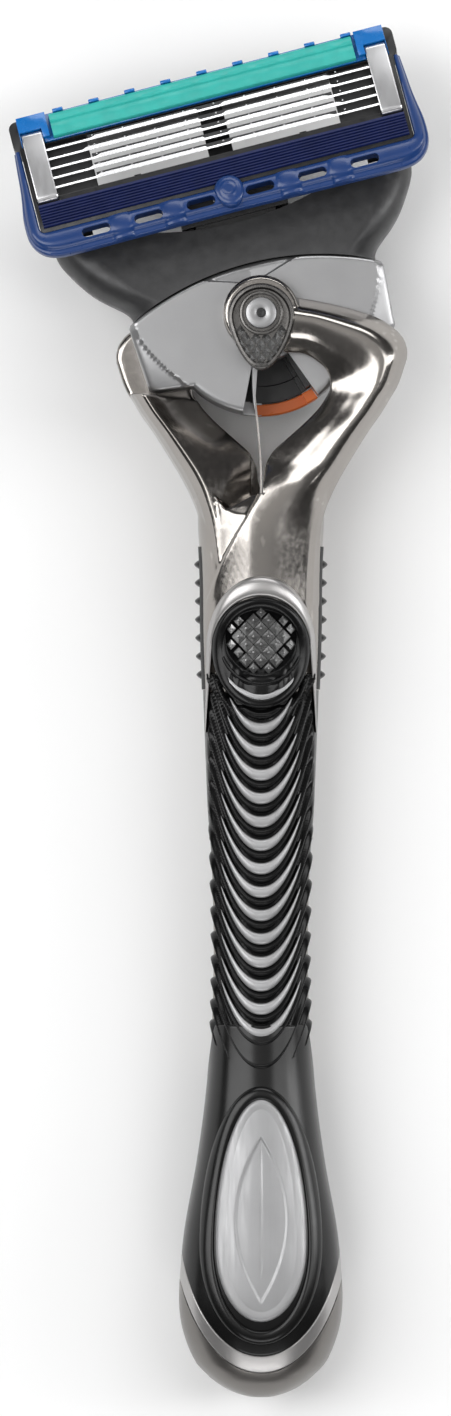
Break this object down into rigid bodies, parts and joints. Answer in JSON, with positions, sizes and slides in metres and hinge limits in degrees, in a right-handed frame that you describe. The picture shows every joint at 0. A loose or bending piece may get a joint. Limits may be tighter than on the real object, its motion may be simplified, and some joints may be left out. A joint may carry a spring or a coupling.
{
  "type": "cartridge razor",
  "caption": "Wet-shaving razor with a curved ribbed handle, a yoke holding a sideways-swivelling pod, and a tilting multi-blade cartridge.",
  "frame": {"origin": "where the pod's swivel axis meets the surface that the razor lies on, at the middle of the rear pivot cap's flat face", "axes": "+Z out of the razor's front, along the swivel axis; +Y along the handle towards the cartridge; +X to the right as seen from the front"},
  "size_m": [0.0429, 0.1405, 0.0182],
  "materials": {
    "gunmetal_chrome": "polished dark nickel",
    "dark_chrome": "polished, textured",
    "steel": "polished",
    "spring_steel": "polished",
    "satin_silver": "satin",
    "badge_silver": "satin",
    "light_trim": "satin",
    "black_rubber": "semi-gloss",
    "black_gloss": "gloss",
    "black_plastic": "matte",
    "gunmetal_cap": "satin",
    "pod_silver": "satin",
    "hood_grey": "fine grain",
    "orange": "gloss",
    "bush_white": "smooth",
    "guard_blue": "satin",
    "fin_blue": "matte",
    "cap_blue": "gloss",
    "strip_teal": "smooth",
    "clip_metal": "brushed",
    "blade_steel": "honed"
  },
  "bodies": {
    "handle": {"back_grip": "black_rubber", "badge_bezel": "black_gloss", "badge_plate": "badge_silver", "base_sleeve": "black_gloss", "end_cap": "gunmetal_cap", "end_trim": "light_trim", "front_pivot_cap": "dark_chrome", "front_pivot_pin": "steel", "grip_insert": "satin_silver", "grip_rubber": "black_rubber", "handle_frame": "gunmetal_chrome", "rear_pivot_cap": "dark_chrome", "rear_pivot_pin": "steel", "side_grip_left": "black_rubber", "side_grip_right": "black_rubber", "tail_spring": "spring_steel", "thumb_collar": "light_trim", "thumb_pad": "black_rubber"},
    "pod": {"pod_shell_front": "pod_silver", "pod_shell_rear": "pod_silver", "pod_core": "black_plastic", "pod_fin": "black_plastic", "pod_bumper": "orange", "front_bush": "bush_white", "rear_bush": "bush_white", "pod_hood": "hood_grey", "plunger_spring": "spring_steel", "ejector_spring": "spring_steel"},
    "plunger": {"plunger": "black_plastic"},
    "ejector": {"ejector_button": "black_rubber"},
    "carrier": {"interconnect": "black_plastic"},
    "cartridge": {"housing": "black_plastic", "guard_frame": "guard_blue", "guard_fins": "fin_blue", "strip_tray": "cap_blue", "strip_tabs": "fin_blue", "lubricating_strip": "strip_teal", "clip_right": "clip_metal", "clip_left": "clip_metal", "trimmer_guard": "black_plastic", "trimmer_blade": "blade_steel"},
    "blade_1": {"blade_1": "blade_steel", "blade_support_1": "blade_steel"},
    "blade_2": {"blade_2": "blade_steel", "blade_support_2": "blade_steel"},
    "blade_3": {"blade_3": "blade_steel", "blade_support_3": "blade_steel"},
    "blade_4": {"blade_4": "blade_steel", "blade_support_4": "blade_steel"},
    "blade_5": {"blade_5": "blade_steel", "blade_support_5": "blade_steel"}
  },
  "joints": [
    {"name": "pod_swivel", "type": "hinge", "parent": "handle", "child": "pod", "pos_m": [0, 0, 0.009], "axis": [0, 0, 1], "range_deg": [-29, 0], "stiffness_Nm_per_rad": 0.02, "springref_deg": -14.5, "deforming": ["tail_spring"]},
    {"name": "cartridge_release", "type": "slide", "parent": "pod", "child": "carrier", "axis": [-0.2504, 0.9681, 0], "range_m": [0, 0.012]},
    {"name": "cartridge_tilt", "type": "hinge", "parent": "carrier", "child": "cartridge", "pos_m": [-0.00356, 0.01375, 0.0125], "axis": [-0.9681, -0.2504, 0], "range_deg": [0, 35], "stiffness_Nm_per_rad": 0.01, "springref_deg": -5.73, "deforming": ["plunger_spring"]},
    {"name": "plunger_slide", "type": "slide", "parent": "pod", "child": "plunger", "axis": [0.2504, -0.9681, 0], "range_m": [0, 0.0019], "deforming": ["plunger_spring"]},
    {"name": "ejector_slide", "type": "slide", "parent": "pod", "child": "ejector", "axis": [-0.2504, 0.9681, 0], "range_m": [0, 0.001], "stiffness_N_per_m": 200, "springref_m": -0.0005, "deforming": ["ejector_spring"]},
    {"name": "blade_1_float", "type": "slide", "parent": "cartridge", "child": "blade_1", "axis": [0.0648, -0.2506, -0.9659], "range_m": [0, 0.00025], "stiffness_N_per_m": 100, "springref_m": -0.0001},
    {"name": "blade_2_float", "type": "slide", "parent": "cartridge", "child": "blade_2", "axis": [0.0648, -0.2506, -0.9659], "range_m": [0, 0.00025], "stiffness_N_per_m": 100, "springref_m": -0.0001},
    {"name": "blade_3_float", "type": "slide", "parent": "cartridge", "child": "blade_3", "axis": [0.0648, -0.2506, -0.9659], "range_m": [0, 0.00025], "stiffness_N_per_m": 100, "springref_m": -0.0001},
    {"name": "blade_4_float", "type": "slide", "parent": "cartridge", "child": "blade_4", "axis": [0.0648, -0.2506, -0.9659], "range_m": [0, 0.00025], "stiffness_N_per_m": 100, "springref_m": -0.0001},
    {"name": "blade_5_float", "type": "slide", "parent": "cartridge", "child": "blade_5", "axis": [0.0648, -0.2506, -0.9659], "range_m": [0, 0.00025], "stiffness_N_per_m": 100, "springref_m": -0.0001}
  ],
  "couplings": [
    {"joint": "plunger_slide", "follows": "cartridge_tilt", "m_per_rad": 0.003}
  ]
}
